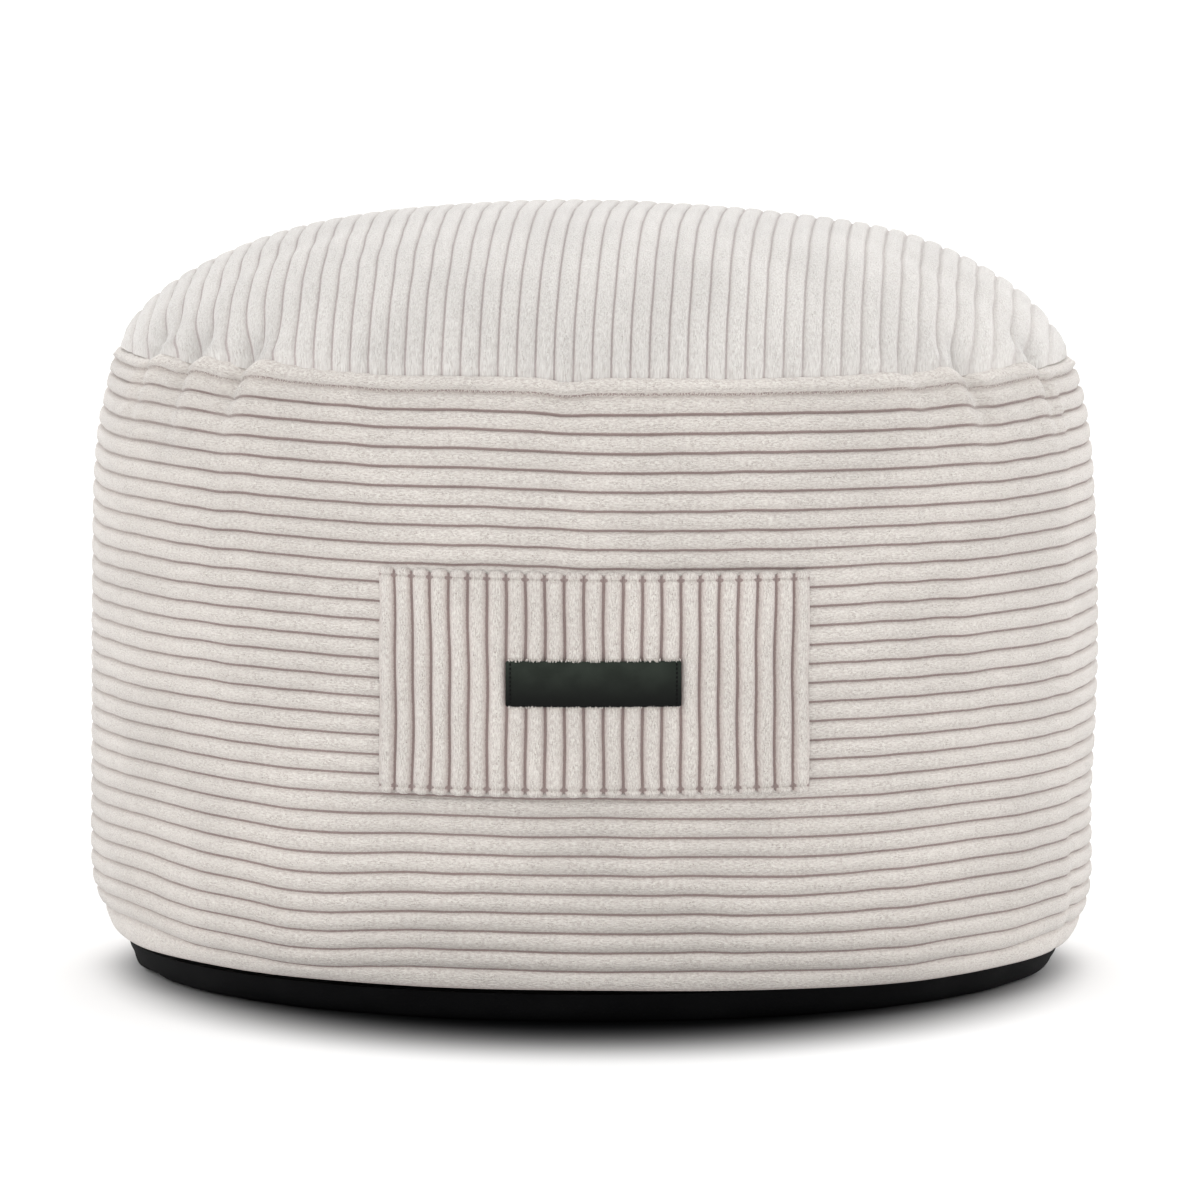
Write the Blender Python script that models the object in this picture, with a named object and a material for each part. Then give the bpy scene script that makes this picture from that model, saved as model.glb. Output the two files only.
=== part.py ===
"""Bean bag footstool: a low round drum of wide-wale corduroy with a crowned top,
a ribbed patch and a leather tag on its front, and a plain black base.

It is built from five sewn pieces: the top panel, whose wales run front to back;
the side band, whose wales run round the drum; the base panel; the patch, whose
wales stand upright; and the tag. The first three are filled, the others thin.
"""

import math

import bmesh
import bpy
from mathutils import Matrix, Vector

# Driving dimensions in metres. +Z is up, the patch faces -Y, and the origin is
# the centre of the flat base.
RADIUS = 0.252  # over the wales, where the drum is widest
SEAM_HEIGHT = 0.3075  # of the seam between side band and top panel
HEM_HEIGHT = 0.0150  # of the seam between side band and base panel
CROWN = 0.0740  # rise of the top panel above its seam
GAP = 0.0003  # between neighbouring pieces

# Corduroy
SIDE_WALES = 32
TOP_PITCH = 0.0091  # from one wale of the top panel to the next
GROOVE_DEPTH = 0.0018
SHOULDER = 0.25  # share of a wale from its groove to its full height
EDGE_WALE = 0.0080  # height of the side's first and last wale, which roll under

# Side band
SIDE_COLUMNS = 48
FRONT_CROWDING = 0.3  # how much closer the columns stand at the front
WAIST_HEIGHT = 0.150  # above this the side leans in towards the seam
LEAN_SOFT = 0.0040
LEAN_SHARP = 0.0080
FOOT_HEIGHT = 0.070  # below this the side draws in towards the hem
FOOT_DRAW = 0.0120
SEAM_TUCK = 0.0030  # how far the cloth pulls in at the seam with the top
HEM_TUCK = 0.0012
SWELL = 0.0010  # how far the filled drum is off round

# Top panel
TOP_RADIUS = 0.2370
TOP_TURN = math.radians(-2.6)  # its wales run a little off the front-to-back line
TOP_PHASE = 0.10  # share of a wale from the centre line to the nearest groove
CROWN_SQUARE = 2.8  # exponents of the crown's rounded outline
CROWN_EDGE = 1.55
TOP_ROWS = (0.0, 0.30, 0.56, 0.76, 0.89, 0.966, 1.0)  # from middle to rim

# Base panel
BASE_TOP_RADIUS = 0.2330
BASE_BULGE = 0.0010
BASE_FLAT_RADIUS = 0.2180
BASE_COLUMNS = 48
BASE_STEPS = 4

# Patch, sewn to the front of the side band
PATCH_BOTTOM = 0.1120
PATCH_TOP = 0.2200
PATCH_HALF_ANGLE = math.radians(24.2)
PATCH_WALES = 23
PATCH_CLOTH = 0.0030  # thickness over its wales
PATCH_PINCH = 0.0012  # how far the end stitches press the wales down
PATCH_STITCH = 0.0038  # from each end to its line of stitches
PATCH_KNOB = 0.0026  # from the stitches to the wale's full height

# Tag
TAG_WIDTH = 0.0838
TAG_HEIGHT = 0.0220
TAG_THICKNESS = 0.0018
TAG_MIDDLE = 0.1668  # height of its centre
TAG_CORNER = 0.0012
TAG_SEGMENTS = 12

# Puckers where the seam gathers the cloth, going round from the front:
# (angle in degrees, depth in metres)
PUCKERS = (
    (-155, 0.0030),
    (-124, 0.0036),
    (-97, 0.0028),
    (-63, 0.0034),
    (-54, 0.0042),
    (-44, 0.0040),
    (-1, 0.0014),
    (39, 0.0014),
    (48, 0.0042),
    (62, 0.0036),
    (92, 0.0030),
    (121, 0.0038),
    (150, 0.0028),
    (177, 0.0034),
)
PUCKER_WIDTH = math.radians(5.0)
PUCKER_LENGTH = 0.030  # how far a pucker runs down the side
PUCKER_REACH = 0.018  # and up the top panel
PUCKER_EASE = 0.5  # share of their depth in the top panel

# Finishes: linear colour and roughness
CORDUROY_SIDE = ((0.686, 0.640, 0.600), 0.95)
CORDUROY_TOP = ((0.770, 0.745, 0.720), 0.95)
BASE_CLOTH = ((0.010, 0.010, 0.011), 0.90)
LEATHER = ((0.022, 0.027, 0.022), 0.55)


def principled(name, finish):
    """A cloth or leather material with the given colour and roughness."""
    colour, roughness = finish
    material = bpy.data.materials.new(name)
    material.use_nodes = True
    shader = material.node_tree.nodes["Principled BSDF"]
    shader.inputs["Base Color"].default_value = (*colour, 1.0)
    shader.inputs["Roughness"].default_value = roughness
    shader.inputs["Metallic"].default_value = 0.0
    return material


def finished(name, mesh, material, collection):
    """Makes an object of a bmesh, with its faces out and its material on."""
    bmesh.ops.recalc_face_normals(mesh, faces=mesh.faces)
    data = bpy.data.meshes.new(name)
    mesh.to_mesh(data)
    mesh.free()
    data.materials.append(material)
    data.shade_smooth()
    data.set_sharp_from_angle(angle=math.radians(50))
    piece = bpy.data.objects.new(name, data)
    collection.objects.link(piece)
    return piece


def groove_share(phase):
    """1 in the groove between two wales, 0 over a wale's full height."""
    away = abs(phase - round(phase))
    return max(0.0, 1.0 - away / SHOULDER)


def angle_between(first, second):
    """The smaller angle between two directions round the drum."""
    return abs(math.remainder(first - second, math.tau))


def pucker_depth(angle):
    """How deep the seam's puckers dent the cloth at an angle round the drum."""
    deepest = 0.0
    for degrees, depth in PUCKERS:
        away = angle_between(angle, math.radians(degrees)) / PUCKER_WIDTH
        deepest = max(deepest, depth * math.exp(-away * away))
    return deepest


def side_radius(angle, height):
    """The side's radius over its wales."""
    lean = max(0.0, height - WAIST_HEIGHT) / (SEAM_HEIGHT - WAIST_HEIGHT)
    foot = max(0.0, FOOT_HEIGHT - height) / (FOOT_HEIGHT - HEM_HEIGHT)
    swell = SWELL * math.cos(3.0 * angle) * math.sin(math.pi * height / SEAM_HEIGHT)
    return (
        RADIUS
        - LEAN_SOFT * lean**2
        - LEAN_SHARP * lean**8
        - FOOT_DRAW * foot**3.5
        + swell
    )


def on_drum(angle, radius, height):
    """A point from its angle round the drum, 0 at the front and rising to +X."""
    return Vector((radius * math.sin(angle), -radius * math.cos(angle), height))


def angle_of(point):
    return math.atan2(point.x, -point.y)


def crown(radius):
    """The rise of the top panel above its seam, at a distance from the axis."""
    share = min(1.0, radius / TOP_RADIUS)
    return CROWN * (1.0 - share**CROWN_SQUARE) ** (1.0 / CROWN_EDGE)


def side_lines():
    """Heights of the grooves between the side's wales, from seam to hem."""
    top = SEAM_HEIGHT - GAP / 2
    first = top - EDGE_WALE
    last = HEM_HEIGHT + EDGE_WALE
    pitch = (first - last) / (SIDE_WALES - 2)
    inner = [first - pitch * i for i in range(SIDE_WALES - 1)]
    return [top, *inner, HEM_HEIGHT]


def side_rows():
    """Each row of the side's profile, as its height and its inset."""
    lines = side_lines()
    rows = [(lines[0], SEAM_TUCK)]
    for upper, lower in zip(lines, lines[1:]):
        drop = (upper - lower) * SHOULDER
        rows.append((upper - drop, 0.0))
        rows.append((lower + drop, 0.0))
        rows.append((lower, GROOVE_DEPTH))
    rows[-1] = (lines[-1], HEM_TUCK)
    return rows


def build_side_band(collection):
    """The filled drum, with its wales round it, turned from one profile."""
    mesh = bmesh.new()
    rows = side_rows()
    profile = [mesh.verts.new((0.0, -RADIUS, height)) for height, _ in rows]
    edges = [mesh.edges.new(pair) for pair in zip(profile, profile[1:])]
    bmesh.ops.spin(
        mesh,
        geom=profile + edges,
        axis=(0, 0, 1),
        angle=math.tau,
        steps=SIDE_COLUMNS,
        use_merge=True,
    )
    bmesh.ops.remove_doubles(mesh, verts=mesh.verts, dist=GAP / 3)
    inset = {round(height, 6): depth for height, depth in rows}
    for vertex in mesh.verts:
        turned = angle_of(vertex.co)
        angle = turned - FRONT_CROWDING * math.sin(turned)
        height = vertex.co.z
        fall = (SEAM_HEIGHT - height) / PUCKER_LENGTH
        dent = pucker_depth(angle) * math.exp(-fall * fall)
        radius = side_radius(angle, height) - inset[round(height, 6)] - dent
        vertex.co = on_drum(angle, radius, height)
    bmesh.ops.holes_fill(mesh, edges=mesh.edges, sides=0)
    material = principled("corduroy_side", CORDUROY_SIDE)
    return finished("side_band", mesh, material, collection)


def top_columns():
    """Places across the top panel: each groove and the shoulders beside it."""
    last = int(TOP_RADIUS / TOP_PITCH) + 1
    places = []
    for wale in range(-last, last + 1):
        for step in (-SHOULDER, 0.0, SHOULDER):
            places.append((wale + TOP_PHASE + step) * TOP_PITCH)
    margin = TOP_PITCH * SHOULDER
    inner = [x for x in places if abs(x) < TOP_RADIUS - margin]
    return [-TOP_RADIUS, *inner, TOP_RADIUS]


def on_top(across, share):
    """A point of the top panel, from its place across it and its share of the
    way from the middle to the rim along the wale."""
    along = share * math.sqrt(max(0.0, TOP_RADIUS**2 - across**2))
    radius = math.hypot(across, along)
    base = SEAM_HEIGHT + GAP / 2
    near = min(radius, TOP_RADIUS * 0.995)
    step = TOP_RADIUS * 0.002
    slope = (crown(near + step) - crown(near - step)) / (2 * step)
    outward = Vector((across, along, 0.0)).normalized()
    normal = (Vector((0, 0, 1)) - outward * slope).normalized()
    depth = GROOVE_DEPTH * groove_share(across / TOP_PITCH - TOP_PHASE)
    point = Vector((across, along, base + crown(radius))) - normal * depth
    rim = abs(share) == 1.0 or abs(across) == TOP_RADIUS
    point.z = base if rim else max(point.z, base + GAP)
    return point


def dented_top(point):
    """The same point, drawn in where a pucker of the seam runs up the panel."""
    radius = math.hypot(point.x, point.y)
    away = (TOP_RADIUS - radius) / PUCKER_REACH
    dent = PUCKER_EASE * pucker_depth(angle_of(point)) * math.exp(-away * away)
    shrunk = 1.0 - dent / max(radius, dent)
    return Vector((point.x * shrunk, point.y * shrunk, point.z))


def build_top_panel(collection):
    """The filled crown, with its wales from front to back."""
    columns = top_columns()
    rows = [-share for share in reversed(TOP_ROWS[1:])] + list(TOP_ROWS)
    mesh = bmesh.new()
    bmesh.ops.create_grid(
        mesh, x_segments=len(columns) - 1, y_segments=len(rows) - 1, size=1.0
    )
    turn = Matrix.Rotation(TOP_TURN, 3, "Z")
    for vertex in mesh.verts:
        column = round((vertex.co.x + 1) / 2 * (len(columns) - 1))
        row = round((vertex.co.y + 1) / 2 * (len(rows) - 1))
        vertex.co = dented_top(turn @ on_top(columns[column], rows[row]))
    bmesh.ops.remove_doubles(mesh, verts=mesh.verts, dist=GAP / 3)
    rim = [edge for edge in mesh.edges if edge.is_boundary]
    bmesh.ops.contextual_create(mesh, geom=rim)
    material = principled("corduroy_top", CORDUROY_TOP)
    return finished("top_panel", mesh, material, collection)


def build_base_panel(collection):
    """The filled black base: flat below, rounded up to the hem."""
    top = HEM_HEIGHT - GAP
    mesh = bmesh.new()
    profile = [mesh.verts.new((0.0, -BASE_TOP_RADIUS, top))]
    for step in range(BASE_STEPS + 1):
        turn = math.pi / 2 * step / BASE_STEPS
        reach = BASE_TOP_RADIUS + BASE_BULGE - BASE_FLAT_RADIUS
        radius = BASE_FLAT_RADIUS + reach * math.cos(turn)
        height = top * 0.7 * (1.0 - math.sin(turn))
        profile.append(mesh.verts.new((0.0, -radius, height)))
    edges = [mesh.edges.new(pair) for pair in zip(profile, profile[1:])]
    bmesh.ops.spin(
        mesh,
        geom=profile + edges,
        axis=(0, 0, 1),
        angle=math.tau,
        steps=BASE_COLUMNS,
        use_merge=True,
    )
    bmesh.ops.remove_doubles(mesh, verts=mesh.verts, dist=GAP / 3)
    bmesh.ops.holes_fill(mesh, edges=mesh.edges, sides=0)
    material = principled("base_cloth", BASE_CLOTH)
    return finished("base_panel", mesh, material, collection)


def patch_columns():
    """Places across the patch in wales, from 0 to PATCH_WALES."""
    places = [0.0]
    for wale in range(PATCH_WALES):
        places += [wale + SHOULDER, wale + 1 - SHOULDER, wale + 1.0]
    return places


def patch_rows():
    """Each row of the patch, as its height and how far it is pressed down."""
    full = PATCH_STITCH + PATCH_KNOB
    middle = (PATCH_BOTTOM + PATCH_TOP) / 2
    return (
        (PATCH_BOTTOM, PATCH_PINCH),
        (PATCH_BOTTOM + PATCH_STITCH / 2, 0.0),
        (PATCH_BOTTOM + PATCH_STITCH, PATCH_PINCH),
        (PATCH_BOTTOM + full, 0.0),
        (middle, 0.0),
        (PATCH_TOP - full, 0.0),
        (PATCH_TOP - PATCH_STITCH, PATCH_PINCH),
        (PATCH_TOP - PATCH_STITCH / 2, 0.0),
        (PATCH_TOP, PATCH_PINCH),
    )


def build_patch(collection):
    """The patch: a thin sheet round the front of the drum, its wales upright."""
    columns = patch_columns()
    rows = patch_rows()
    mesh = bmesh.new()
    bmesh.ops.create_grid(
        mesh, x_segments=len(columns) - 1, y_segments=len(rows) - 1, size=1.0
    )
    back = list(mesh.verts)
    raised = bmesh.ops.extrude_face_region(mesh, geom=list(mesh.faces))["geom"]
    front = {item for item in raised if isinstance(item, bmesh.types.BMVert)}
    for vertex in back + list(front):
        place = columns[round((vertex.co.x + 1) / 2 * (len(columns) - 1))]
        height, pressed = rows[round((vertex.co.y + 1) / 2 * (len(rows) - 1))]
        angle = (place / PATCH_WALES * 2 - 1) * PATCH_HALF_ANGLE
        radius = side_radius(angle, height) + GAP
        if vertex in front:
            edge = place in (0.0, float(PATCH_WALES))
            depth = GROOVE_DEPTH * (0.6 if edge else groove_share(place))
            radius += PATCH_CLOTH - max(depth, pressed)
        vertex.co = on_drum(angle, radius, height)
    material = principled("corduroy_patch", CORDUROY_SIDE)
    return finished("patch", mesh, material, collection)


def build_tag(collection):
    """The leather tag: a thin oblong on the patch, bent round the drum."""
    mesh = bmesh.new()
    bmesh.ops.create_cube(mesh, size=1.0)
    bmesh.ops.scale(mesh, vec=(TAG_WIDTH, TAG_THICKNESS, TAG_HEIGHT), verts=mesh.verts)
    corners = [e for e in mesh.edges if abs(e.verts[0].co.y - e.verts[1].co.y) > GAP]
    bmesh.ops.bevel(
        mesh, geom=corners, offset=TAG_CORNER, segments=2, profile=0.5, affect="EDGES"
    )
    for cut in range(1, TAG_SEGMENTS):
        across = TAG_WIDTH * (cut / TAG_SEGMENTS - 0.5)
        geometry = list(mesh.verts) + list(mesh.edges) + list(mesh.faces)
        bmesh.ops.bisect_plane(
            mesh, geom=geometry, plane_co=(across, 0, 0), plane_no=(1, 0, 0)
        )
    seat = side_radius(0.0, TAG_MIDDLE) + GAP + PATCH_CLOTH + GAP
    for vertex in mesh.verts:
        angle = vertex.co.x / seat
        lift = TAG_THICKNESS / 2 - vertex.co.y
        under = side_radius(angle, TAG_MIDDLE) + GAP + PATCH_CLOTH + GAP
        vertex.co = on_drum(angle, under + lift, TAG_MIDDLE + vertex.co.z)
    material = principled("leather", LEATHER)
    return finished("tag", mesh, material, collection)


def main():
    for item in list(bpy.data.objects):
        bpy.data.objects.remove(item)
    collection = bpy.data.collections.new("bean_bag_footstool")
    bpy.context.scene.collection.children.link(collection)
    build_side_band(collection)
    build_top_panel(collection)
    build_base_panel(collection)
    build_patch(collection)
    build_tag(collection)


main()
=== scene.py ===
"""The bean bag footstool as it looks: pale wide-wale corduroy over a bead filling.

The side band's wales run round the drum, the top panel's run front to back, and
the patch on the front has them upright. The seam between side and top gathers
the cloth into puckers, each with a crease that runs down and away from the front.
"""

import math
from contextlib import contextmanager

import bmesh
import bpy
import numpy as np
from mathutils import Matrix, Vector
from mathutils.kdtree import KDTree


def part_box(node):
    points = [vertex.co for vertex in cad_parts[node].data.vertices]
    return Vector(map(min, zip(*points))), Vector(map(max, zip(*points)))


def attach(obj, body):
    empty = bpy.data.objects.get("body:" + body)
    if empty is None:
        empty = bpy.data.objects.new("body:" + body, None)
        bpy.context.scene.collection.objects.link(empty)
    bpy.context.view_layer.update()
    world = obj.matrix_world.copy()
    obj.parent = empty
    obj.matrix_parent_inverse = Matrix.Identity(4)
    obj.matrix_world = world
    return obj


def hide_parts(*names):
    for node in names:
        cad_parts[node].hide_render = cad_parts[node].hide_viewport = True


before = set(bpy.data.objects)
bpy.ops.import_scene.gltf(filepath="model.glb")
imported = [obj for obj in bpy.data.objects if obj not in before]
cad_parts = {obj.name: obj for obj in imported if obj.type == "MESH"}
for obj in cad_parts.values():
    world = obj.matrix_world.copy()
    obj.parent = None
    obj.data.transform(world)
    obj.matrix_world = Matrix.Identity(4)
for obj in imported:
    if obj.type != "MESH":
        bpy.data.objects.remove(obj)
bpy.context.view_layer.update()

# Sizes in metres, from the frame
side_low, side_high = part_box("side_band")
top_low, top_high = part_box("top_panel")
_, base_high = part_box("base_panel")
patch_low, patch_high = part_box("patch")
tag_low, tag_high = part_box("tag")
RADIUS = (side_high[0] - side_low[0]) / 2
SEAM_HEIGHT = side_high[2]
HEM_HEIGHT = side_low[2]
CROWN = top_high[2] - SEAM_HEIGHT
GAP = top_low[2] - side_high[2]
PATCH_BOTTOM, PATCH_TOP = patch_low[2], patch_high[2]
TAG_MIDDLE = (tag_low[2] + tag_high[2]) / 2
TAG_HEIGHT = tag_high[2] - tag_low[2]
TAG_WIDTH = tag_high[0] - tag_low[0]

# Corduroy
SIDE_WALES = 32
TOP_PITCH = 0.0091
TOP_RISE = 0.0016
PATCH_WALES = 23
WALE_RISE = 0.0021  # from groove to crest
WALE_SQUARE = 2.9  # how square the wales' rounded section is
WALE_ROWS = (0.0, 0.055, 0.095, 0.22, 0.5, 0.78, 0.905, 0.945)  # points over one wale
WALE_FLOOR = 0.89  # share of a wale between the flat floors of its grooves
EDGE_WALE = 0.0080  # height of the side's first and last wale
CAP_INSET = 0.02  # of each ring that closes a piece inside
PILE_NOISE = 0.00005  # unevenness of single points of the cloth

# Side band
SIDE_COLUMNS = 376
CLOSE_COLUMNS = 2.2  # how much closer together they are at the puckers
CLOSING_SEAM = math.radians(72.0)  # where the side band's two ends are sewn
CLOSING_STEP = 0.0009  # by which the wales miss each other there
CLOSING_DEPTH = 0.0012  # of the furrow that it draws
WAIST_HEIGHT = 0.150
LEAN_SOFT = 0.0040
LEAN_SHARP = 0.0080
SIDE_LEAN = 0.0020  # more, to the left and right
FOOT_HEIGHT = 0.070
FOOT_DRAW = 0.0120
FOOT_FRONT = 0.86  # by what share it is drawn in less at the front
FOOT_FRONT_ANGLE = math.radians(48.0)
SEAM_TUCK = 0.0040
ROLL_RISE = 0.0022  # of the rolled seam over the line where the top is sewn on
ROLL_ROWS = (0.025, 0.15, 0.33, 0.65)  # more points over the roll
ROLL_OUT = 0.0022  # by which it stands out over the wale below it
ROLL_NARROW = 0.0013  # by which its stitched groove lies higher
SWELL = 0.0010
# Where it draws in all round: (height, half-width, depth, more of it to the right)
HOLLOWS = (
    (0.075, 0.045, 0.0012, 0.0012),
    (0.300, 0.032, 0.0021, 0.0),
)

# Top panel
TOP_RADIUS = 0.2370
TOP_TURN = math.radians(-2.6)
TOP_PHASE = 0.10
TOP_ROWS = 210
CROWN_SQUARE = 2.85
CROWN_EDGE = 1.54
CROWN_SETTLE = 0.0011  # that the middle sits below the solid's
CROWN_TILT = -0.0004

# The seam's rise and fall round the drum: (degrees from the front, metres)
SEAM_LINE = (
    (-180, 0.0008), (-135, 0.0018), (-90, 0.0023), (-62, 0.0033),
    (-35, 0.0028), (0, 0.0028), (35, 0.0003), (50, -0.0002),
    (80, -0.0024), (130, -0.0007), (180, 0.0008),
)
SEAM_WALES = 3.0  # that the wales take to settle below the seam

# The wales' own line: they lie higher than even spacing, and most on the left
LINE_RISE = 0.0047
LINE_TILT = 0.0040

# The hem's rise and fall round the drum, in the same form as the seam's
HEM_LINE = (
    (-180, 0.0015), (-90, 0.0036), (-50, 0.0040), (-37, 0.0035), (0, 0.0042),
    (22, 0.0020), (36, 0.0000), (60, 0.0006), (90, 0.0008), (180, 0.0015),
)

# Where the filling lets the wales sag or pushes them up:
# (degrees from the front, width in degrees, place from seam 0 to hem 1, height, sag)
SAGS = (
    (-35, 9, 0.90, 0.20, 0.0046),
    (-27, 8, 0.86, 0.17, 0.0019),
    (24, 9, 0.86, 0.20, 0.0018),
    (36, 9, 0.98, 0.10, 0.0026),
    (-51, 8, 0.97, 0.14, 0.0030),
    (53, 9, 0.99, 0.09, 0.0022),
    (-68, 10, 0.92, 0.22, -0.0022),
    (67, 10, 0.95, 0.18, -0.0020),
    (104, 12, 0.80, 0.25, 0.0022),
    (150, 14, 0.92, 0.22, 0.0028),
    (-118, 12, 0.90, 0.22, 0.0026),
    (-160, 14, 0.45, 0.30, 0.0016),
)

# Puckers: (degrees from the front, size, side on which the cloth stands up)
PUCKERS = (
    (-166, 0.55, 1), (-147, 0.90, 1), (-126, 0.60, 1), (-107, 0.95, 1),
    (-86, 0.30, 1), (-65.2, 0.90, 1), (-54.8, 1.00, 1), (-44.6, 1.05, 1),
    (39.2, 0.30, -1), (48.4, 0.85, -1), (65.0, 0.90, -1), (88, 0.30, -1),
    (111, 0.60, -1), (129, 0.95, -1), (151, 0.60, -1), (173, 0.80, -1),
)
PUCKER_RISE = 0.0074
PUCKER_FALL = 0.0026
PUCKER_DENT = 0.0062
PUCKER_BULGE = 0.0034
PUCKER_SLANT = math.radians(2.7)  # how far a crease moves sideways in all
PUCKER_REACH = 2.0  # wales that a crease crosses
# Their shapes, in degrees from the crease
SHOULDER_RISE, SHOULDER_END = 2.1, 5.2
DROOP_WIDTH, DROOP_END = 1.4, 4.0
DENT_PLACE, DENT_WIDTH = 0.7, 1.2
BULGE_PLACE, BULGE_WIDTH = 2.5, 2.0

# Soft dips of the seam: (degrees from the front, depth, width in degrees)
SEAM_DIPS = ((-3.0, 0.0026, 2.1), (17.0, 0.0006, 3.0), (-24.0, 0.0007, 4.0))

# Cloth simulation of the filled cover, on a coarse cage
CAGE_COLUMNS = 216
CAGE_ANGLES = np.linspace(-math.pi, math.pi, CAGE_COLUMNS + 1)
CAGE_RINGS = 18  # over the top, from its seam to its middle
CAGE_MIDDLE = 0.010
SETTLE_FRAMES = 20
CLOTH = {
    "quality": 6,
    "mass": 0.4,
    "tension_stiffness": 20,
    "compression_stiffness": 20,
    "shear_stiffness": 8,
    "bending_stiffness": 0.3,
    "shrink_min": -0.02,  # the cloth is a little too large for the filling
    "use_pressure": True,
    "uniform_pressure_force": 4.0,
}
FOLD_CAP = 0.0028
FOLD_WIDEST = 8.0  # folds round the drum; what is broader is in the measured form
FOLD_FINEST = 42.0
FOLD_CALM = 0.65  # share left out at the far left and right, where the form is measured
TOP_FOLD = 0.35  # share of the simulated folds that the drawn-tight top keeps

# Base
BASE_TOP_RADIUS = base_high[0] - 0.001
BASE_FLAT_RADIUS = 0.2180
BASE_COLUMNS = 192
BASE_ROWS = 14

# Patch and tag
PATCH_HALF_ANGLE = math.radians(24.2)
PATCH_CLOTH = 0.0030
PATCH_RISE = 0.0027
PATCH_SQUARE = 2.4
PATCH_WALE_ROWS = (0.0, 0.05, 0.09, 0.18, 0.33, 0.5, 0.67, 0.82, 0.91, 0.95)
PATCH_STITCH = 0.0037  # from its ends
PATCH_PINCH = (0.0021, 0.0026)  # how far the stitches pinch it, outwards and inwards
PATCH_END = 0.0072
PATCH_END_ROWS = 20
PATCH_ROWS = 58
TAG_THICKNESS = 0.0018
TAG_PILLOW = 0.0008  # by how much its long edges lie lower than its middle
TAG_CORNER = 0.0012
TAG_RIM = 0.0004
TAG_REACH = RADIUS + 0.004  # the drum's radius at the tag
STITCHES = 10  # at each end of the tag
STITCH_INSET = 0.0024
STITCH_SIZE = (0.00042, 0.00018, 0.00072)
TUFTS = 120  # of pile over each long edge of the tag

# Studio
AMBIENT = 0.68
SUN_SIZE = 60.0  # degrees across
SUNS = (
    ("overhead", 0.56, (-0.10, -0.30, 0.95)),
    ("left", 0.71, (-1.00, -0.25, 0.45)),
    ("right", 1.10, (1.00, 0.15, 0.40)),
    ("behind", 1.45, (0.00, 1.00, 0.70)),
    ("front", 0.18, (-0.20, -1.00, 0.08)),
)
BOUNCE_POWER = 0.80  # of a low light before the front, as from a white floor
BOUNCE_AWAY = 0.85
BOUNCE_SIZE = (1.30, 0.08)
# The painted shade on the floor round the base
SHADE_FORWARD = 0.040
SHADE_NARROW = 1.33
SHADE_DARK = 0.160
SHADE_PALE = 0.337
SHADE_SOFT = 2.7

# Photo's view
VIEW_DISTANCE = 5.0
VIEW_HEIGHT = 0.6704
VIEW_PITCH = math.radians(5.578)
VIEW_SIDE = 0.0030
SENSOR = 36.0
LENS = SENSOR * 10030 / 1200

random = np.random.default_rng(23)
folds = {}  # what the simulation adds to the side and the top, once it has run


# ---- unevenness


def waves(angle, wale, turns, rows, amount, count=20):
    """A repeatable unevenness round the drum: waves with whole numbers of turns."""
    total = np.zeros(np.broadcast(angle, wale).shape)
    for _ in range(count):
        turn = random.integers(turns[0], turns[1] + 1)
        slope = random.uniform(-rows, rows)
        start = random.uniform(0.0, math.tau)
        total = total + np.sin(turn * angle + slope * wale + start)
    return total * amount * math.sqrt(2.0 / count)


def ripples(across, along, finest, amount, count=24):
    """The same on a flat cloth, in metres, with waves no shorter than finest."""
    total = np.zeros(np.broadcast(across, along).shape)
    for _ in range(count):
        heading = random.uniform(0.0, math.pi)
        pitch = math.tau / (finest * random.uniform(1.0, 3.0))
        start = random.uniform(0.0, math.tau)
        reach = across * math.cos(heading) + along * math.sin(heading)
        total = total + np.sin(pitch * reach + start)
    return total * amount * math.sqrt(2.0 / count)


def bell(away):
    return np.exp(-(away**2))


def limited(share):
    return np.clip(share, 0.0, 1.0)


def turned(angle):
    """The same direction round the drum, between -180 and 180 degrees."""
    return np.remainder(angle + math.pi, math.tau) - math.pi


def degrees_past(angle, degrees):
    """How many degrees a direction lies past another, which is given in degrees."""
    return np.degrees(turned(angle - math.radians(degrees)))


# ---- the form


def line_rise(angle, line):
    """How far a seam lies above its mean height, smoothed between its points."""
    places = np.radians([degrees for degrees, _ in line])
    rises = [rise for _, rise in line]
    fine = np.linspace(-math.pi, math.pi, 361)
    rough = np.interp(fine, places, rises)
    window = np.hanning(25)
    padded = np.concatenate([rough[-25:-1], rough, rough[1:25]])
    smooth = np.convolve(padded, window / window.sum(), "same")[24:-24]
    return np.interp(turned(angle), fine, smooth)


def from_crease(angle, wale, pucker):
    """Degrees from a pucker's crease towards the side where the cloth stands up."""
    degrees, _, side = pucker
    slant = PUCKER_SLANT * (1.0 - np.exp(-wale / 1.6))
    crease = math.radians(degrees) - side * slant
    return side * np.degrees(turned(angle - crease))


def pucker_lift(angle, wale, softer=0.0):
    """How far the puckers lift and drop the wales: on one side of a crease the
    cloth droops into it, and on the other it stands up with a round shoulder.
    Where it is softer, the shoulder is that many degrees wider."""
    total = np.zeros(np.broadcast(angle, wale).shape)
    for pucker in PUCKERS:
        away = from_crease(angle, wale, pucker)
        ahead = np.maximum(away, 0.0)
        behind = np.maximum(-away, 0.0)
        rise = PUCKER_RISE * (1.0 - bell(ahead / (SHOULDER_RISE + softer)))
        rise = rise * np.exp(-ahead / SHOULDER_END)
        fall = PUCKER_FALL * bell(ahead / (DROOP_WIDTH + softer))
        fall = fall * np.exp(-behind / DROOP_END)
        total += pucker[1] * (rise - fall)
    for degrees, depth, width in SEAM_DIPS:
        total -= depth * bell(degrees_past(angle, degrees) / width)
    return total * np.exp(-((wale / PUCKER_REACH) ** 1.3))


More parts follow.
